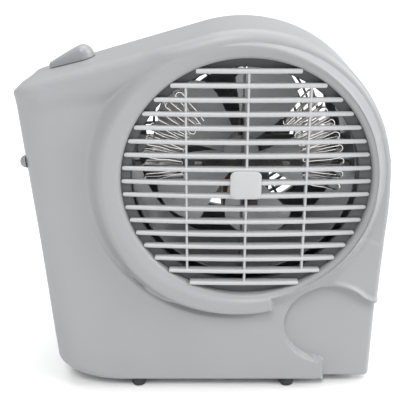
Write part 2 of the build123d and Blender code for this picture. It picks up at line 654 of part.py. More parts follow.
def tip_plunger():
    """Sprung pin held in by the surface under the heater; it drops when the heater tips."""
    pin = stud_rod(3, SWITCH_X, SWITCH_DEPTH, -AXIS_HEIGHT, PLUNGER_SHOULDER)
    pin += stud_rod(5, SWITCH_X, SWITCH_DEPTH, PLUNGER_SHOULDER - 2, PLUNGER_SHOULDER)
    return pin + stud_rod(2, SWITCH_X, SWITCH_DEPTH, PLUNGER_SHOULDER, -140)


def plunger_spring():
    wire, mean, turns = 0.35, 3.6, 5
    low, high = PLUNGER_SHOULDER + wire + 0.05, SWITCH_CEILING - wire - 0.05
    place = at_height(SWITCH_X, SWITCH_DEPTH, low)
    path = Helix(pitch=(high - low) / turns, height=high - low, radius=mean)
    section = Plane(path @ 0, z_dir=path % 0) * Circle(wire)
    return place * sweep(section, path=path, is_frenet=True)


# ---- wiring --------------------------------------------------------------------------------


def terminal_block():
    floor = -BASE_DROP + WALL
    block = slab(-62, -30, 84, 96, floor, floor + 11)
    for x in (-56, -46, -36):
        block -= stud_rod(2.2, x, 90, floor + 7, floor + 12)
        block -= stud_rod(1.5 + FIT, x, 90, floor + 3, floor + 8)
    return block


def terminal_screws():
    floor = -BASE_DROP + WALL
    return Compound([stud_rod(2.1, x, 90, floor + 7, floor + 9) + stud_rod(1.5, x, 90, floor + 4, floor + 7)
                     for x in (-56, -46, -36)])


def cord_inlet_bush():
    """Snap-in rubber bush that lines the hole where the mains lead enters."""
    bush = tube(7, 0, BACK_DEPTH, DEPTH, BUSH_X, BUSH_Z)
    bush += tube(5, 0, BACK_DEPTH - WALL, BACK_DEPTH, BUSH_X, BUSH_Z)
    bush += tube(6.5, 0, BACK_DEPTH - WALL - 2, BACK_DEPTH - WALL, BUSH_X, BUSH_Z)
    return bush - tube(3.6, 0, BACK_DEPTH - WALL - 3, DEPTH + 1, BUSH_X, BUSH_Z)


CLAMP_SCREWS_X = (BUSH_X - 8.5, BUSH_X + 8.5)
CLAMP_TOP = -141.0


def cord_clamp():
    floor = -BASE_DROP + WALL
    clamp = slab(BUSH_X - 12, BUSH_X + 12, 112, 120, floor, CLAMP_TOP)
    clamp -= tube(3.5, 0, 111, 121, BUSH_X, BUSH_Z)
    for x in CLAMP_SCREWS_X:
        clamp -= stud_rod(1.5 + FIT, x, 116, floor + 4, CLAMP_TOP + 1)
    return clamp


def cord_clamp_screws():
    heads = [stud_rod(3, x, 116, CLAMP_TOP, CLAMP_TOP + 2) for x in CLAMP_SCREWS_X]
    return Compound([head + stud_rod(1.5, x, 116, CLAMP_TOP - 16, CLAMP_TOP)
                     for x, head in zip(CLAMP_SCREWS_X, heads)])


# ---- every sub-part and its file -----------------------------------------------------------

PARTS = {
    "front_housing": front_housing,
    "rear_housing": rear_housing,
    "front_grille": front_grille,
    "grille_badge": grille_badge,
    "rear_inlet_grille": rear_inlet_grille,
    "housing_screws": housing_screws,
    "side_stud_left": lambda: side_stud("left"),
    "side_stud_right": lambda: side_stud("right"),
    "air_duct": air_duct,
    "duct_screws": duct_screws,
    "mica_board_upright": lambda: mica_board(True),
    "mica_board_level": lambda: mica_board(False),
    "heating_ribbon_front": lambda: heating_ribbon("front"),
    "heating_ribbon_rear": lambda: heating_ribbon("rear"),
    "heater_terminals": heater_terminals,
    "thermal_cutout": thermal_cutout,
    "thermal_fuse": thermal_fuse,
    "motor_bracket": motor_bracket,
    "motor_spacers": motor_spacers,
    "motor_front_bridge": lambda: motor_bridge(True),
    "motor_rear_bridge": lambda: motor_bridge(False),
    "front_bearing": lambda: bearing(True),
    "rear_bearing": lambda: bearing(False),
    "motor_stator": motor_stator,
    "coil_bobbin": coil_bobbin,
    "motor_coil": motor_coil,
    "shading_rings": shading_rings,
    "motor_screws": motor_screws,
    "motor_nuts": motor_nuts,
    "motor_rotor": motor_rotor,
    "motor_shaft": motor_shaft,
    "impeller": impeller,
    "impeller_clip": impeller_clip,
    "control_knob": control_knob,
    "control_spindle": control_spindle,
    "thermostat_body": thermostat_body,
    "thermostat_nut": thermostat_nut,
    "tip_switch_body": tip_switch_body,
    "tip_plunger": tip_plunger,
    "plunger_spring": plunger_spring,
    "terminal_block": terminal_block,
    "terminal_screws": terminal_screws,
    "cord_inlet_bush": cord_inlet_bush,
    "cord_clamp": cord_clamp,
    "cord_clamp_screws": cord_clamp_screws,
}
for end in FEET_DEPTH:
    for side in FEET_X:
        PARTS[f"foot_{end}_{side}"] = lambda side=side, end=end: foot(side, end)

os.makedirs("parts", exist_ok=True)
for name, make in PARTS.items():
    export_step(make(), f"parts/{name}.step")
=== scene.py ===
from math import cos, pi, radians, sin, sqrt, tan

import bmesh
import bpy
import numpy as np
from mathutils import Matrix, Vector


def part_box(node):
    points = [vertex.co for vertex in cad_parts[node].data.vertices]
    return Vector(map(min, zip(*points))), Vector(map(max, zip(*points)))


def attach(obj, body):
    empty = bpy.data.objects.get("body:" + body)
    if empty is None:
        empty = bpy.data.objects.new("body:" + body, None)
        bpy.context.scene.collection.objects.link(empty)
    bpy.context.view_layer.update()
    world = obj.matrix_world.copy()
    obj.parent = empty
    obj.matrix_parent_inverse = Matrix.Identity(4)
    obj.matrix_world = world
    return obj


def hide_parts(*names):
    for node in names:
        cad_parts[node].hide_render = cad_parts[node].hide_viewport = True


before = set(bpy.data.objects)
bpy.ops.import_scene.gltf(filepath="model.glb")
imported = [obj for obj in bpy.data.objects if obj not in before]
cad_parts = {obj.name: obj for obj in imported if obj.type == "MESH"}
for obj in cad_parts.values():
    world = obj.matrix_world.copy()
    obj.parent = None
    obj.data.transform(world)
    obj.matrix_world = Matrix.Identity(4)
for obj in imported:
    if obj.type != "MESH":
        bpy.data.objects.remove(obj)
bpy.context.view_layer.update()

# Sizes are millimetres about the fan axis: x to the right, z up, and a depth counted backwards
# from the crest of the rim round the outlet.
MM = 0.001
shaft_low, shaft_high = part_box("motor_shaft")
AXIS = np.array([(shaft_low.x + shaft_high.x) / 2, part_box("front_housing")[0].y,
                 (shaft_low.z + shaft_high.z) / 2])


def place(points):
    """(x, depth, z) points about the fan axis, in the frame's metres."""
    return AXIS + np.asarray(points, float) * MM


# ---- camera, light and floor ---------------------------------------------------------------

scene = bpy.context.scene
camera = bpy.data.cameras.new("camera")
camera.lens, camera.sensor_width = 67.26, 36
camera_object = bpy.data.objects.new("camera", camera)
scene.collection.objects.link(camera_object)
camera_object.location = (-0.00408, -0.534, 0.35337)
camera_object.rotation_euler = (radians(67.51), 0, 0)
scene.camera = camera_object
scene.view_settings.view_transform = "Standard"

SKY_LOW, SKY_STRENGTH = 0.85, 0.63       # the studio is dimmer towards the floor
world = bpy.data.worlds.new("studio")
world.use_nodes = True
scene.world = world
sky = world.node_tree
height = sky.nodes.new("ShaderNodeSeparateXYZ")
sky.links.new(sky.nodes.new("ShaderNodeTexCoord").outputs["Generated"], height.inputs["Vector"])
sky_ramp = sky.nodes.new("ShaderNodeValToRGB")
sky_ramp.color_ramp.elements[0].color = (SKY_LOW,) * 3 + (1,)
sky_ramp.color_ramp.elements[1].color = (1, 1, 1, 1)
sky.links.new(height.outputs["Z"], sky_ramp.inputs["Fac"])
sky.links.new(sky_ramp.outputs["Color"], sky.nodes["Background"].inputs["Color"])
sky.nodes["Background"].inputs["Strength"].default_value = SKY_STRENGTH


def soft_light(name, source, strength, spread):
    """Even light from the direction of a point, spread over a disc that many degrees wide."""
    light = bpy.data.lights.new(name, "SUN")
    light.energy, light.angle = strength, radians(spread)
    holder = bpy.data.objects.new(name, light)
    scene.collection.objects.link(holder)
    holder.rotation_euler = (-Vector(source)).to_track_quat("-Z", "Y").to_euler()


soft_light("key", (-0.15, -0.85, 1.2), 1.75, 20)
soft_light("overhead", (0.1, 0.3, 1.0), 1.85, 60)
soft_light("side", (1.0, -0.2, 0.5), 2.2, 40)

# ---- materials -----------------------------------------------------------------------------


class Finish:
    """A node material built up from one Principled shader."""

    def __init__(self, name, **sockets):
        self.material = bpy.data.materials.new(name)
        self.material.use_nodes = True
        self.tree = self.material.node_tree
        self.shader = self.tree.nodes["Principled BSDF"]
        self.place = self.add("ShaderNodeTexCoord").outputs["Object"]
        for label, value in sockets.items():
            self.shader.inputs[label.replace("_", " ")].default_value = value

    def add(self, kind, **settings):
        node = self.tree.nodes.new(kind)
        for key, value in settings.items():
            setattr(node, key, value)
        return node

    def link(self, source, target):
        self.tree.links.new(source, target)

    def noise(self, scale, detail=3.0, roughness=0.5, stretch=None):
        node = self.add("ShaderNodeTexNoise")
        node.inputs["Scale"].default_value = scale
        node.inputs["Detail"].default_value = detail
        node.inputs["Roughness"].default_value = roughness
        if stretch:
            mapping = self.add("ShaderNodeMapping")
            mapping.inputs["Scale"].default_value = stretch
            self.link(self.place, mapping.inputs["Vector"])
            self.link(mapping.outputs["Vector"], node.inputs["Vector"])
        else:
            self.link(self.place, node.inputs["Vector"])
        return node.outputs["Fac"]

    def ramp(self, fac, stops):
        node = self.add("ShaderNodeValToRGB")
        elements = node.color_ramp.elements
        while len(elements) < len(stops):
            elements.new(0.5)
        for element, (position, colour) in zip(elements, stops):
            element.position = position
            element.color = (*colour, 1)
        self.link(fac, node.inputs["Fac"])
        return node.outputs["Color"]

    def colour(self, fac, dark, light, low=0.3, high=0.7):
        self.link(self.ramp(fac, [(low, dark), (high, light)]), self.shader.inputs["Base Color"])

    def roughness(self, fac, low, high):
        node = self.add("ShaderNodeMapRange")
        node.inputs["From Min"].default_value = 0.3
        node.inputs["From Max"].default_value = 0.7
        node.inputs["To Min"].default_value = low
        node.inputs["To Max"].default_value = high
        self.link(fac, node.inputs["Value"])
        self.link(node.outputs["Result"], self.shader.inputs["Roughness"])

    def bump(self, fac, strength, distance):
        node = self.add("ShaderNodeBump")
        node.inputs["Strength"].default_value = strength
        node.inputs["Distance"].default_value = distance
        self.link(fac, node.inputs["Height"])
        self.link(node.outputs["Normal"], self.shader.inputs["Normal"])


def moulded(name, colour, roughness=0.45, grain=2400, depth=0.00003, variation=0.04):
    """Injection-moulded plastic: a fine spark-eroded grain and slow changes of tone."""
    finish = Finish(name, IOR=1.5, Coat_Weight=0.0)
    slow = finish.noise(9, 2)
    dark = tuple(c * (1 - variation) for c in colour)
    light = tuple(min(1, c * (1 + variation)) for c in colour)
    finish.colour(slow, dark, light)
    fine = finish.noise(grain, 2, 0.6)
    finish.roughness(fine, roughness - 0.05, roughness + 0.07)
    finish.bump(fine, 0.35, depth)
    return finish.material


def metal(name, colour, roughness, brushed=(1, 1, 1), scale=300, variation=0.12):
    """Bare metal, streaked along the axis where brushed is smallest."""
    finish = Finish(name, Metallic=1.0)
    streaks = finish.noise(scale, 4, 0.6, brushed)
    dark = tuple(c * (1 - variation) for c in colour)
    finish.colour(streaks, dark, colour)
    finish.roughness(streaks, roughness * 0.75, roughness * 1.3)
    finish.bump(streaks, 0.2, 0.00003)
    return finish.material


def wound(name, colour, strand):
    """A coil's outer layer: fine parallel strands with lacquer over them."""
    finish = Finish(name, Metallic=0.6, Coat_Weight=0.5)
    wave = finish.add("ShaderNodeTexWave", bands_direction="X")
    wave.inputs["Scale"].default_value = strand
    wave.inputs["Distortion"].default_value = 0.6
    finish.link(finish.place, wave.inputs["Vector"])
    finish.colour(wave.outputs["Fac"], tuple(c * 0.55 for c in colour), colour)
    finish.roughness(wave.outputs["Fac"], 0.3, 0.5)
    finish.bump(wave.outputs["Fac"], 0.6, 0.0002)
    return finish.material


CASING = (0.292, 0.297, 0.307)
casing_plastic = moulded("casing_plastic", CASING, 0.42)
grille_plastic = moulded("grille_plastic", (0.43, 0.436, 0.445), 0.38)
# Near-black painted shade: the ring round the outlet is coloured dark to stand for the shadowed hollow
# behind the slats, not for its own plastic tone.
ring_painted_shade = moulded("ring_painted_shade", (0.085, 0.087, 0.092), 0.6, 1500, 0.00006, 0.15)
inlet_plastic = moulded("inlet_plastic", (0.33, 0.337, 0.345))
badge_plastic = moulded("badge_plastic", (0.43, 0.436, 0.445), 0.3)
knob_plastic = moulded("knob_plastic", (0.285, 0.288, 0.30), 0.33)
stud_plastic = moulded("stud_plastic", (0.22, 0.224, 0.232), 0.35)
fan_plastic = moulded("fan_plastic", (0.72, 0.725, 0.735), 0.3)
switch_plastic = moulded("switch_plastic", (0.03, 0.03, 0.032), 0.5)
bobbin_plastic = moulded("bobbin_plastic", (0.62, 0.60, 0.52), 0.5, 1800, 0.00004, 0.08)
phenolic = moulded("phenolic", (0.06, 0.035, 0.022), 0.35, 1200, 0.00005, 0.3)
foot_rubber = moulded("foot_rubber", (0.022, 0.024, 0.028), 0.7, 900, 0.00008, 0.25)
mica = moulded("mica", (0.13, 0.125, 0.115), 0.3, 500, 0.00006, 0.45)
sheet_steel = metal("sheet_steel", (0.34, 0.345, 0.355), 0.42, (1, 1, 12), 220, 0.3)
screw_steel = metal("screw_steel", (0.60, 0.60, 0.60), 0.3)
shaft_steel = metal("shaft_steel", (0.62, 0.62, 0.63), 0.18, (1, 30, 1), 200)
spring_steel = metal("spring_steel", (0.50, 0.50, 0.52), 0.25)
ribbon_alloy = metal("ribbon_alloy", (0.90, 0.88, 0.85), 0.13, (8, 8, 1), 500, 0.2)
brass = metal("brass", (0.72, 0.52, 0.24), 0.3)
lamination = metal("lamination", (0.30, 0.29, 0.29), 0.45, (1, 60, 1), 60, 0.45)
copper_wire = wound("copper_wire", (0.34, 0.17, 0.09), 900)
tinned = metal("tinned", (0.80, 0.80, 0.78), 0.22)
copper_bar = metal("copper_bar", (0.75, 0.38, 0.24), 0.28, (1, 6, 1), 200)

# ---- meshes --------------------------------------------------------------------------------


def piece(name, made, material, body="casing", nodes=(), sharp=35):
    """The object made of gathered parts, shaded smooth up to an angle."""
    points, faces = made.points, made.faces
    mesh = bpy.data.meshes.new(name)
    mesh.from_pydata(place(points).tolist(), [], faces)
    shape = bmesh.new()
    shape.from_mesh(mesh)
    bmesh.ops.remove_doubles(shape, verts=shape.verts, dist=1e-7)
    bmesh.ops.dissolve_degenerate(shape, edges=shape.edges, dist=1e-8)
    bmesh.ops.recalc_face_normals(shape, faces=shape.faces)
    shape.to_mesh(mesh)
    shape.free()
    mesh.polygons.foreach_set("use_smooth", [True] * len(mesh.polygons))
    mesh.set_sharp_from_angle(angle=radians(sharp))
    mesh.materials.append(material)
    shown = bpy.data.objects.new(name, mesh)
    scene.collection.objects.link(shown)
    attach(shown, body)
    if nodes:
        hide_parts(*nodes)
    return shown


class Parts:
    """Collects grids of points and their faces into one mesh."""

    def __init__(self):
        self.points, self.faces = [], []

    def grid(self, rows, closed_rows=False, caps=False):
        """rows is (rows, columns, 3), and each row is a closed loop of points."""
        rows = np.asarray(rows, float)
        count, width = rows.shape[:2]
        base = len(self.points)
        self.points += rows.reshape(-1, 3).tolist()
        for i in range(count if closed_rows else count - 1):
            here, there = base + i * width, base + (i + 1) % count * width
            for j in range(width):
                k = (j + 1) % width
                self.faces.append((here + j, here + k, there + k, there + j))
        if caps:
            self.faces.append(tuple(range(base, base + width)))
            self.faces.append(tuple(range(base + (count - 1) * width, base + count * width)))


def smooth(t):
    """A soft step from 0 to 1."""
    t = np.clip(t, 0, 1)
    return t * t * (3 - 2 * t)


def blend_min(a, b, width):
    """The smaller of two values, rounded off where they cross."""
    h = np.clip(0.5 + 0.5 * (b - a) / width, 0, 1)
    return b * (1 - h) + a * h - width * h * (1 - h)


# ---- front shell ---------------------------------------------------------------------------

DRUM_R, TOP_SLOPE, BASE = 98.5, 106, 167.5
SIDES = ((0, DRUM_R), (TOP_SLOPE, DRUM_R), (184.5, 149.0), (270, BASE))   # outward normal, distance
PART_LINE, WALL = 64.0, 2.5
ARC_POINTS = (110, 20, 40, 14)
FINE_BASE, FINE_RIGHT = 0.72, 0.385     # where the sampling turns finer, beside the recess


def spans(*runs):
    """Fractions from 0 up to 1, without 1: each run is (its end, its number of points)."""
    values, start = [], 0.0
    for end, count in runs:
        values += list(start + (end - start) * np.arange(count) / count)
        start = end
    return np.array(values)


SIDE_SPANS = (spans((1, 72)), spans((1, 110)), spans((FINE_BASE, 84), (1, 84)),
              spans((FINE_RIGHT, 84), (1, 56)))


def casing_loop(insets, corners):
    """Points of the casing outline drawn in by an inset on each side, always the same number.

    Each corner is a conic that leaves one side and joins the next at the given distances from
    their crossing; equal distances make it an arc.
    """
    arcs = []
    for index, reaches in enumerate(corners):
        (a0, d0), (a1, d1) = SIDES[index], SIDES[(index + 1) % 4]
        d0, d1 = d0 - insets[index], d1 - insets[(index + 1) % 4]
        half = radians((a1 - a0) % 360) / 2
        before, after = reaches if isinstance(reaches, tuple) else (reaches * tan(half),) * 2
        turn = sin(radians(a1 - a0))
        s0, c0, s1, c1 = sin(radians(a0)), cos(radians(a0)), sin(radians(a1)), cos(radians(a1))
        crossing = np.array([d0 * s1 - d1 * s0, d1 * c0 - d0 * c1]) / turn
        start = crossing + before * np.array([s0, -c0])
        end = crossing + after * np.array([-s1, c1])
        t = np.linspace(0, 1, ARC_POINTS[index])[:, None]
        weights = (1 - t) ** 2, 2 * cos(half) * t * (1 - t), t ** 2
        arcs.append((weights[0] * start + weights[1] * crossing + weights[2] * end) / sum(weights))
    loop = []
    for index, arc in enumerate(arcs):
        after = arcs[(index + 1) % 4]
        loop += [arc[:-1], arc[-1] + SIDE_SPANS[index][:, None] * (after[0] - arc[-1])]
    return np.concatenate(loop)


def along_loop(values):
    """A number for each side, eased round the corners: one value per point of the loop."""
    eased = []
    for index in range(4):
        here, after = values[index], values[(index + 1) % 4]
        eased.append(here + (after - here) * smooth(np.linspace(0, 1, ARC_POINTS[index]))[:-1])
        eased.append(np.full(len(SIDE_SPANS[index]), float(after)))
    return np.concatenate(eased)


def reach(circle, ux, uz):
    """Distance from the fan axis to an off-centre circle in a direction."""
    x, z, radius = circle
    along = x * ux + z * uz
    return along + np.sqrt(radius ** 2 - x * x - z * z + along ** 2)


COLLAR = (1.5, -4.6, 85.0)       # the outlet's straight wall, where the grille sits
LIP = (1.5, -3.8, 88.8)          # where that wall starts to flare
CREST = (-2.5, -3.5, 92.5)       # where the rim stands furthest forward
SKIRT = (-6.0, -6.0, 103.0)      # foot of the rim's outer flank
GROOVE_WIDTH, GROOVE_DEPTH = 3.0, 2.2    # it dips before it meets the face
CAP_ANGLE, FADE_ANGLE = -77.4, -52       # the raised rim ends at the first, and is back past the second
COLLAR_FAR, FLARE_DEPTH = 16.0, 5.6      # back of the straight wall, and front of it
FACE_DEPTH, FACE_FALL = 9.5, 3.5         # the face lies further back at the upper left

RECESS = np.array([64.5, -119.0])
RECESS_R, RECESS_DEPTH = 32.0, 5.5
RECESS_FOOT = np.array([63.5, -119.0])   # top of the upright edge under the circle
BROW_CENTRE, BROW_R = np.array([119.4, -44.6]), 61.0
BROW_SIDE = np.array([82.85, -92.8])     # the recess runs out to the right wall beyond this
BROW_LIP, LIP_OFF, LIP_HALF = 2.4, 3.2, 1.7      # height, place and width of the roll over the recess


def recess_distance(x, z):
    """Signed distance to the edge of the lower right recess, negative inside it."""
    circle = np.hypot(x - RECESS[0], z - RECESS[1]) - RECESS_R
    under_brow = BROW_R - np.hypot(x - BROW_CENTRE[0], z - BROW_CENTRE[1])
    edge = BROW_SIDE - RECESS_FOOT
    edge /= np.hypot(*edge)
    left, foot = RECESS_FOOT
    right_of = -((x - left) * edge[1] - (z - foot) * edge[0])
    corner = np.maximum(np.maximum(left - x, under_brow), right_of)
    return np.minimum(circle, corner)


def front_depth(x, z):
    """Depth of the front face, rim and recess at a place about the fan axis."""
    r = np.hypot(x, z)
    ux, uz = x / r, z / r
    angle = np.degrees(np.arctan2(z, x))
    low = smooth(-uz)
    face = FACE_DEPTH + FACE_FALL * smooth((-x - 40) / 70) * smooth((z + 150) / 110)
    lip, crest, skirt = reach(LIP, ux, uz), reach(CREST, ux, uz), reach(SKIRT, ux, uz)

    # The rim falls from its crest to the face, later and through a groove lower down.
    lip_depth = 1.0 + 1.2 * low
    inner = lip_depth * np.clip((crest - r) / (crest - lip), 0, 1) ** 1.8
    foot = skirt + 1.0 * low
    ridge = inner + face * smooth((r - crest - 7 * low) / (foot - crest - 7 * low))
    dip = np.clip(1 - np.abs(r - foot) / GROOVE_WIDTH, 0, 1)
    ridge = ridge + GROOVE_DEPTH * smooth(dip) * smooth((-x + 40) / 60) * smooth(-1.8 * uz - 0.5)

    # At the lower right there is no rim, and the face runs up to the lip.
    faded = lip_depth + (face - lip_depth) * smooth((r - lip + 2) / (skirt - lip + 2))
    share = smooth((angle - CAP_ANGLE + 0.4) / 1.0) * (1 - smooth((angle - FADE_ANGLE) / 40))
    share = np.where(angle > 90, 0, share) * smooth((r - lip) / 3)
    depth = ridge + (faded - ridge) * share

    # Along the sloping top the face comes forward to meet the shoulder.
    out = x * cos(radians(TOP_SLOPE)) + z * sin(radians(TOP_SLOPE))
    across = np.clip(90 - out, 0, None)
    edge = 10 * np.clip((-x - 25) / 95, 0, 1) + 0.022 * across ** 2 + 8 * smooth((x + 50) / 40)
    depth = np.maximum(blend_min(depth, edge, 2.5), 0)

    # A rolled brow stands over the recess.
    beyond = recess_distance(x, z)
    rolled = np.exp(-((beyond - LIP_OFF) / LIP_HALF) ** 2) * smooth((x - 60) / 14) * smooth((z + 118) / 12)
    depth = depth - BROW_LIP * rolled * smooth((beyond + 0.5) / 1.5)
    width = 1.3 + 2.6 * smooth((x - 66) / 18) * smooth((z + 125) / 15)
    return depth + RECESS_DEPTH * smooth(0.5 - beyond / width)


EDGE_INSETS = (3.5, 8.5, 20.0, 2.5)      # how far in the rounded front edge starts, on each side
EDGE_DEPTHS = (3.5, 8.5, 10.0, 2.5)      # and how deep it goes
CORNERS_FRONT = (DRUM_R, (14.0, 4.0), (19.0, 46.0), 3.0)
CORNERS_BACK = (DRUM_R, 16.0, 26.0, 8.0)
CORNERS_BRIM = (92.0, (16.0, 6.0), (16.0, 30.0), 2.0)    # where the front edge starts to round
CORNERS_INSIDE = (DRUM_R - WALL, 13.5, (16.5, 43.5), 2.0)
CORNERS_INSIDE_BACK = (DRUM_R - WALL, 13.5, 23.5, 5.5)
CORNER_HOLD = 0.4                # share of the wall over which the corners keep their front shape
BULGE, BULGE_Z, BULGE_SPREAD = 2.4, -14.0, 42.0   # the right wall swells beside the outlet
WALL_OUT = 1.5                   # and stands out a little from there down


def swell(loop):
    """A casing outline whose right wall stands out a little beside the outlet."""
    bulge = BULGE * np.exp(-((loop[:, 1] - BULGE_Z) / BULGE_SPREAD) ** 2)
    moved = loop.copy()
    bulge = bulge + WALL_OUT * smooth((20 - loop[:, 1]) / 60)
    moved[:, 0] += bulge * smooth((loop[:, 0] - 60) / 30)
    return moved


def front_shell():
    """One closed skin: collar, rim, face, rounded edge, outside wall, then back along the inside."""
    front = swell(casing_loop((0, 0, 0, 0), CORNERS_FRONT))
    back = casing_loop((0, 0, 0, 0), CORNERS_BACK)
    inner = swell(casing_loop(EDGE_INSETS, CORNERS_BRIM))
    inside_front = casing_loop((WALL,) * 4, CORNERS_INSIDE)
    inside_back = casing_loop((WALL,) * 4, CORNERS_INSIDE_BACK)
    edge_depth = along_loop(EDGE_DEPTHS)
    r = np.hypot(inner[:, 0], inner[:, 1])
    ux, uz = inner[:, 0] / r, inner[:, 1] / r
    lip, collar = reach(LIP, ux, uz), reach(COLLAR, ux, uz)
    crest, skirt = reach(CREST, ux, uz), reach(SKIRT, ux, uz)

    def ring(radius, depth):
        return np.stack([radius * ux, np.broadcast_to(depth, radius.shape), radius * uz], 1)

    lip_depth = front_depth(lip * ux, lip * uz)
    rows = [ring(collar, COLLAR_FAR), ring(collar, COLLAR_FAR / 2), ring(collar, FLARE_DEPTH)]
    for t in (0.12, 0.3, 0.5, 0.72, 0.88):
        radius = collar + (lip - collar) * (1 - sqrt(1 - t * t))
        rows.append(ring(radius, FLARE_DEPTH + (lip_depth - FLARE_DEPTH) * t))
    stations = [(lip, np.minimum(crest, r), 9), (np.minimum(crest, r), np.minimum(skirt, r), 16),
                (np.minimum(skirt, r), r, 60)]
    for near, far, count in stations:
        for t in np.arange(count) / count:
            radius = near + (far - near) * t
            rows.append(ring(radius, front_depth(radius * ux, radius * uz)))
    brim = front_depth(inner[:, 0], inner[:, 1])
    for t in np.linspace(pi / 2, 0, 11):
        at = front + (inner - front) * (1 - cos(t))
        rows.append(np.stack([at[:, 0], brim + edge_depth * (1 - sin(t)), at[:, 1]], 1))
    start = brim + edge_depth
    for t in np.arange(1, 15) / 14:
        at = front + (back - front) * smooth((t - CORNER_HOLD) / (1 - CORNER_HOLD))
        rows.append(np.stack([at[:, 0], start + (PART_LINE - start) * t, at[:, 1]], 1))
    rows.append(np.stack([inside_back[:, 0], np.full(len(back), PART_LINE), inside_back[:, 1]], 1))
    for t in np.linspace(0, pi / 2, 5):
        at = inside_front + (inner - inside_front) * (1 - cos(t))
        rows.append(np.stack([at[:, 0], brim + WALL + edge_depth * (1 - sin(t)), at[:, 1]], 1))
    for t in np.linspace(0.1, 1, 12):
        radius = r + (collar + WALL - r) * t
        depth = front_depth(radius * ux, radius * uz) + WALL
        rows.append(ring(radius, np.where(t > 0.95, COLLAR_FAR / 2, np.maximum(depth, 3.0))))
    rows.append(ring(collar + WALL, COLLAR_FAR))
    shell = Parts()
    shell.grid(rows, closed_rows=True)
    return piece("front_shell", shell, casing_plastic, nodes=("front_housing",), sharp=50)


front_shell()

# ---- grille --------------------------------------------------------------------------------

SLATS, SLAT_TOP, SLAT_PITCH = 17, 72.6, 9.51
SLAT_THICK, SLAT_BACK = 3.1, 8.2
BOW_NEAR, BOW, BOW_REACH = 1.2, 4.5, 84
ENDS = (1.5, -4.6, 84.3)         # the circle on which the slats end
BARS, BAR_HALF = (-38.9, 1.5, 41.9), 0.9
RING = (1.5, -4.6, 84.9)         # outside of the ring behind the slats
THROAT = (0.5, -3.0, 77.2)       # and its opening
RING_NEAR, RING_FAR, RING_POINTS = 8.0, 16.0, 240


def bow(x):
    """Depth of the grille's front: every slat stands proud in the middle."""
    return BOW_NEAR + BOW * (x / BOW_REACH) ** 2


def slat_heights(x):
    """Heights of the slats that pass a place across the grille."""
    half = sqrt(ENDS[2] ** 2 - (x - ENDS[0]) ** 2)
    heights = [SLAT_TOP - i * SLAT_PITCH for i in range(SLATS)]
    return [z for z in heights if abs(z - ENDS[1]) < half]


def grille():
    """Level slats with rounded fronts, upright bars, and the ring they are moulded to."""
    made = Parts()
    for z in slat_heights(ENDS[0]):
        half = sqrt(ENDS[2] ** 2 - (z - ENDS[1]) ** 2)
        rows = []
        for t in np.concatenate([[0, 0.006], np.linspace(0.02, 0.98, 41), [0.994, 1]]):
            x = ENDS[0] + half * (2 * t - 1)
            near = bow(x)
            thick = SLAT_THICK / 2 * (0.55 if t in (0, 1) else 1.0)
            loop = [(x, near + thick * 0.8 * (1 + cos(radians(a))), z + thick * sin(radians(a)))
                    for a in np.linspace(90, 270, 9)]
            loop += [(x, SLAT_BACK, z - thick * 0.6), (x, SLAT_BACK, z + thick * 0.6)]
            rows.append(loop)
        made.grid(rows, caps=True)
    for x in BARS:
        passed = slat_heights(x)
        rows = []
        for z in np.linspace(min(passed), max(passed), 40):
            near = bow(x) + 0.6
            rows.append([(x - BAR_HALF, near + 0.7, z), (x - BAR_HALF * 0.5, near, z),
                         (x + BAR_HALF * 0.5, near, z), (x + BAR_HALF, near + 0.7, z),
                         (x + BAR_HALF * 0.8, SLAT_BACK, z), (x - BAR_HALF * 0.8, SLAT_BACK, z)])
        made.grid(rows, caps=True)
    turn = np.linspace(0, 2 * pi, RING_POINTS, endpoint=False)
    ux, uz = np.cos(turn), np.sin(turn)
    outer, throat = reach(RING, ux, uz), reach(THROAT, ux, uz)
    section = ((outer, RING_NEAR), (throat + 0.6, RING_NEAR), (throat, 8.6), (throat, 11.4),
               (throat + 1.6, 11.6), (outer - 1.8, 11.6), (outer - 1.8, RING_FAR), (outer, RING_FAR))
    rows = []
    for radius, depth in section:
        rows.append(np.stack([radius * ux, np.full(RING_POINTS, depth), radius * uz], 1))
    made.grid(rows, closed_rows=True)
    shown = piece("outlet_grille", made, grille_plastic, nodes=("front_grille",))
    # The ring's faces take the near-black painted shade instead of the grille plastic.
    shown.data.materials.append(ring_painted_shade)
    for polygon in shown.data.polygons:
        x, depth, z = (np.array(polygon.center) - AXIS) / MM
        if depth >= RING_NEAR and np.hypot(x - THROAT[0], z - THROAT[1]) > THROAT[2] - 0.5:
            polygon.material_index = 1


grille()


# The badge's dome, from its back to its crown: share of the outline, and depth.
BADGE_DOME = ((0.98, 1.4), (1.0, 0.95), (0.985, 0.72), (0.93, 0.5), (0.8, 0.34), (0.6, 0.22), (0.3, 0.13))


def badge():
    """A plain domed badge over the middle of the grille."""
    centre_x, centre_z, half_x, half_z, corner = 1.0, -4.5, 10.5, 10.0, 4.0
    quarter = np.linspace(0, pi / 2, 9)
    outline = []
    for index, (sx, sz) in enumerate(((1, 1), (-1, 1), (-1, -1), (1, -1))):
        turn = quarter + index * pi / 2
        outline.append(np.stack([sx * (half_x - corner) + corner * np.cos(turn),
                                 sz * (half_z - corner) + corner * np.sin(turn)], 1))
    outline = np.concatenate(outline)
    rows = []
    for scale, depth in BADGE_DOME:
        at = outline * scale
        rows.append(np.stack([centre_x + at[:, 0], np.full(len(at), depth), centre_z + at[:, 1]], 1))
    made = Parts()
    made.grid(rows, caps=True)
    piece("blank_badge", made, badge_plastic, nodes=("grille_badge",), sharp=60)


badge()

# ---- heating ribbons and fan ---------------------------------------------------------------

RIBBON_INNER, RIBBON_OUTER = 42.0, 70.0
RIBBON_STEP = 180 / 44           # angle between one strand and the next
RIBBON_BANKS = ((-16, 54), (126, 196))
RIBBON_HALF, RIBBON_WIDTH = 0.2, 4.0
RIBBON_FRONT, RIBBON_REAR = 22.0, 34.0   # depths of the two rows


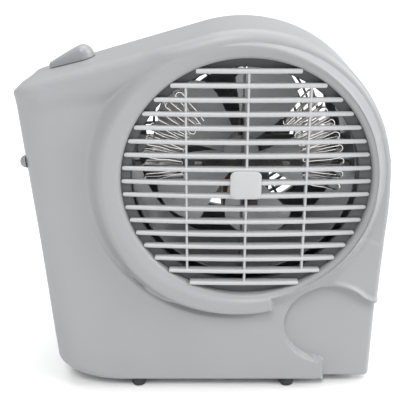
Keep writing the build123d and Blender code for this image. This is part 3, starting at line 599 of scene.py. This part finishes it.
def ribbon_path(first, last, start):
    """Radial hairpins with rounded ends, from one angle to another."""
    count = int((last - first) / RIBBON_STEP) - 1
    bend = np.linspace(-80, 80, 7)
    points = []
    for i in range(count):
        angle = radians(start + first + (i + 0.5) * RIBBON_STEP)
        half_step = radians(RIBBON_STEP / 2)
        outward = i % 2 == 0
        inner_bend, outer_bend = RIBBON_INNER * half_step, RIBBON_OUTER * half_step
        straight = np.linspace(RIBBON_INNER + inner_bend, RIBBON_OUTER - outer_bend, 4)
        for radius in straight if outward else straight[::-1]:
            sway = 0.35 * sin(radius * 0.45 + i * 1.7)
            points.append((radius * cos(angle) - sway * sin(angle),
                           radius * sin(angle) + sway * cos(angle)))
        middle = angle + half_step
        radius, size, sign = ((RIBBON_OUTER - outer_bend, outer_bend, 1) if outward
                              else (RIBBON_INNER + inner_bend, inner_bend, -1))
        for turn in bend:
            along, across = sign * size * cos(radians(turn)), size * sin(radians(turn))
            points.append(((radius + along) * cos(middle) - across * sin(middle),
                           (radius + along) * sin(middle) + across * cos(middle)))
    return np.array(points)


def ribbon(row, near, start):
    """One row of the ribbon: a thin band on edge, bent along the path in each bank."""
    far = near + RIBBON_WIDTH
    made = Parts()
    for first, last in RIBBON_BANKS:
        path = ribbon_path(first, last, start)
        along = np.gradient(path, axis=0)
        along /= np.hypot(along[:, 0], along[:, 1])[:, None]
        side = np.stack([-along[:, 1], along[:, 0]], 1) * RIBBON_HALF
        rows = []
        for (x, z), (sx, sz) in zip(path, side):
            rows.append([(x + sx, near, z + sz), (x - sx, near, z - sz),
                         (x - sx, far, z - sz), (x + sx, far, z + sz)])
        made.grid(rows, caps=True)
    name = f"heating_ribbon_{row}"
    piece(f"hairpin_ribbon_{row}", made, ribbon_alloy, nodes=(name,), sharp=30)


ribbon("front", RIBBON_FRONT, 0)
ribbon("rear", RIBBON_REAR, RIBBON_STEP / 2)

BLADES, BLADE_START = 5, 63.0
HUB_R, TIP_R = 14.0, 69.5
FAN_NEAR, FAN_FAR = 46.0, 64.0
BLADE_DEPTH, HUB_POINTS = 55, 64


def impeller():
    """A domed hub with curved, pitched blades."""
    made = Parts()
    dome = [(0.5, FAN_NEAR), (8, FAN_NEAR + 0.1), (11.5, FAN_NEAR + 0.6), (13.4, FAN_NEAR + 2.0),
            (HUB_R, FAN_NEAR + 4.5), (HUB_R, FAN_FAR), (12, FAN_FAR), (12, FAN_NEAR + 4.5),
            (0.5, FAN_NEAR + 3)]
    turn = np.arange(HUB_POINTS) * 2 * pi / HUB_POINTS
    turned = []
    for radius, depth in dome:
        turned.append(np.stack([radius * np.cos(turn), np.full(HUB_POINTS, depth),
                                radius * np.sin(turn)], 1))
    made.grid(turned, caps=True)
    for index in range(BLADES):
        middle = BLADE_START + index * 360 / BLADES
        rows = []
        for s in np.linspace(0, 1, 16):
            radius = HUB_R - 1 + (TIP_R - HUB_R + 1) * s
            half = 27 - 2 * s + 4 * s * (1 - s)
            pitch = 8.2 - 1.6 * s
            front, rear = [], []
            for t in np.linspace(-1, 1, 13):
                trim = 1 - 0.16 * s ** 3 * t * t
                angle = radians(middle + half * t + 7 * s)
                depth = BLADE_DEPTH - pitch * t + 1.8 * (1 - t * t)
                thick = 0.9 * sqrt(max(1.02 - t * t, 0))
                at = radius * (trim if s > 0.6 else 1)
                front.append((at * cos(angle), depth - thick, at * sin(angle)))
                rear.append((at * cos(angle), depth + thick, at * sin(angle)))
            rows.append(front + rear[::-1])
        made.grid(rows, caps=True)
    piece("fan_wheel", made, fan_plastic, body="fan_rotor", nodes=("impeller",), sharp=40)


impeller()

# ---- knob and feet -------------------------------------------------------------------------

KNOB_X, KNOB_DEPTH, SHOULDER = -110.0, 50.0, radians(TOP_SLOPE - 90)
KNOB_R, TIP_RADIUS, KNOB_REACH = 8.0, 2.5, 25.0
KNOB_Z = (DRUM_R - KNOB_X * cos(radians(TOP_SLOPE))) / sin(radians(TOP_SLOPE))
KNOB_RISE, KNOB_GAP = 9.8, 0.5           # height of the heel, and the gap over the shoulder


def knob():
    """Teardrop pointer: a rounded heel over the spindle and a long nose that sinks to its tip."""
    rows = []
    for t in np.linspace(0, 1, 33):
        along = KNOB_R - (KNOB_R + KNOB_REACH) * (1 - cos(pi * t)) / 2
        if along > 0:
            half = sqrt(max(KNOB_R ** 2 - along ** 2, 0.02))
        elif along > TIP_RADIUS - KNOB_REACH:
            half = KNOB_R + (TIP_RADIUS - KNOB_R) * (-along / (KNOB_REACH - TIP_RADIUS))
        else:
            half = sqrt(max(TIP_RADIUS ** 2 - (along + KNOB_REACH - TIP_RADIUS) ** 2, 0.02))
        heel = sqrt(max(1 - (max(along, 0) / KNOB_R) ** 2.2, 0.0))
        nose = 1 - 0.68 * (max(-along, 0) / KNOB_REACH) ** 1.15
        tip = sqrt(max(min((along + KNOB_REACH) / 1.6, 1.0), 0.0))
        top = 0.9 + (KNOB_RISE - 0.9) * heel * nose * (0.35 + 0.65 * tip)
        loop = []
        for a in np.linspace(0, pi, 15):
            c, w = cos(a), sin(a)
            across = half * (abs(c) ** 0.75) * (1 if c >= 0 else -1)
            rise = KNOB_GAP + (top - KNOB_GAP) * w ** 0.6
            loop.append((along, across, rise))
        rows.append(loop)
    rows = np.array(rows)
    along, across, rise = rows[..., 0], rows[..., 1], rows[..., 2]
    x = KNOB_X + along * cos(SHOULDER) - rise * sin(SHOULDER)
    z = KNOB_Z + along * sin(SHOULDER) + rise * cos(SHOULDER)
    made = Parts()
    made.grid(np.stack([x, KNOB_DEPTH + across, z], -1), caps=True)
    piece("pointer_knob", made, knob_plastic, body="knob", nodes=("control_knob",), sharp=60)


knob()


FOOT_R, STEM_R, STEM, FOOT_POINTS = 5.5, 2.4, 4.9, 40


def foot(node):
    """A flat rubber button with a softly rounded sole, and a stem that plugs into the base."""
    low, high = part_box(node)
    x = ((low.x + high.x) / 2 - AXIS[0]) / MM
    depth = ((low.y + high.y) / 2 - AXIS[1]) / MM
    ground, base = (low.z - AXIS[2]) / MM, -BASE
    section = ((3.2, ground), (4.3, ground + 0.12), (5.0, ground + 0.6), (5.4, ground + 1.5),
               (FOOT_R, ground + 2.8), (FOOT_R, base), (STEM_R, base), (STEM_R, base + STEM))
    rows = []
    turn = np.arange(FOOT_POINTS) * 2 * pi / FOOT_POINTS
    for radius, z in section:
        rows.append(np.stack([x + radius * np.cos(turn), depth + radius * np.sin(turn),
                              np.full(FOOT_POINTS, z)], 1))
    made = Parts()
    made.grid(rows, caps=True)
    piece(node.replace("foot", "rubber_foot"), made, foot_rubber, nodes=(node,), sharp=40)


for end in ("front", "rear"):
    for side in ("left", "right"):
        foot(f"foot_{end}_{side}")

# ---- carried-over nodes --------------------------------------------------------------------

FINISHES = {
    casing_plastic: ("rear_housing",),
    inlet_plastic: ("rear_inlet_grille",),
    stud_plastic: ("side_stud_left", "side_stud_right"),
    foot_rubber: ("cord_inlet_bush",),
    sheet_steel: ("air_duct", "motor_bracket", "motor_front_bridge", "motor_rear_bridge"),
    screw_steel: ("housing_screws", "duct_screws", "motor_spacers", "motor_screws", "motor_nuts",
                  "cord_clamp_screws", "terminal_screws", "thermostat_nut"),
    spring_steel: ("plunger_spring", "impeller_clip"),
    mica: ("mica_board_upright", "mica_board_level"),
    tinned: ("heater_terminals",),
    brass: ("front_bearing", "rear_bearing"),
    phenolic: ("thermal_cutout", "thermal_fuse", "thermostat_body"),
    lamination: ("motor_stator", "motor_rotor"),
    shaft_steel: ("motor_shaft", "control_spindle"),
    bobbin_plastic: ("coil_bobbin", "terminal_block", "cord_clamp"),
    copper_wire: ("motor_coil",),
    copper_bar: ("shading_rings",),
    switch_plastic: ("tip_switch_body", "tip_plunger"),
}
for material, names in FINISHES.items():
    for name in names:
        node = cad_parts[name]
        node.data.materials.clear()
        node.data.materials.append(material)

# ---- floor ---------------------------------------------------------------------------------

floor_finish = Finish("floor", Roughness=0.9)
floor_finish.colour(floor_finish.noise(3), (0.78, 0.78, 0.78), (0.80, 0.80, 0.80))
bpy.ops.mesh.primitive_plane_add(size=30, location=(0, 0, 0))
floor = bpy.context.object
floor.name = "floor"
floor.data.materials.append(floor_finish.material)
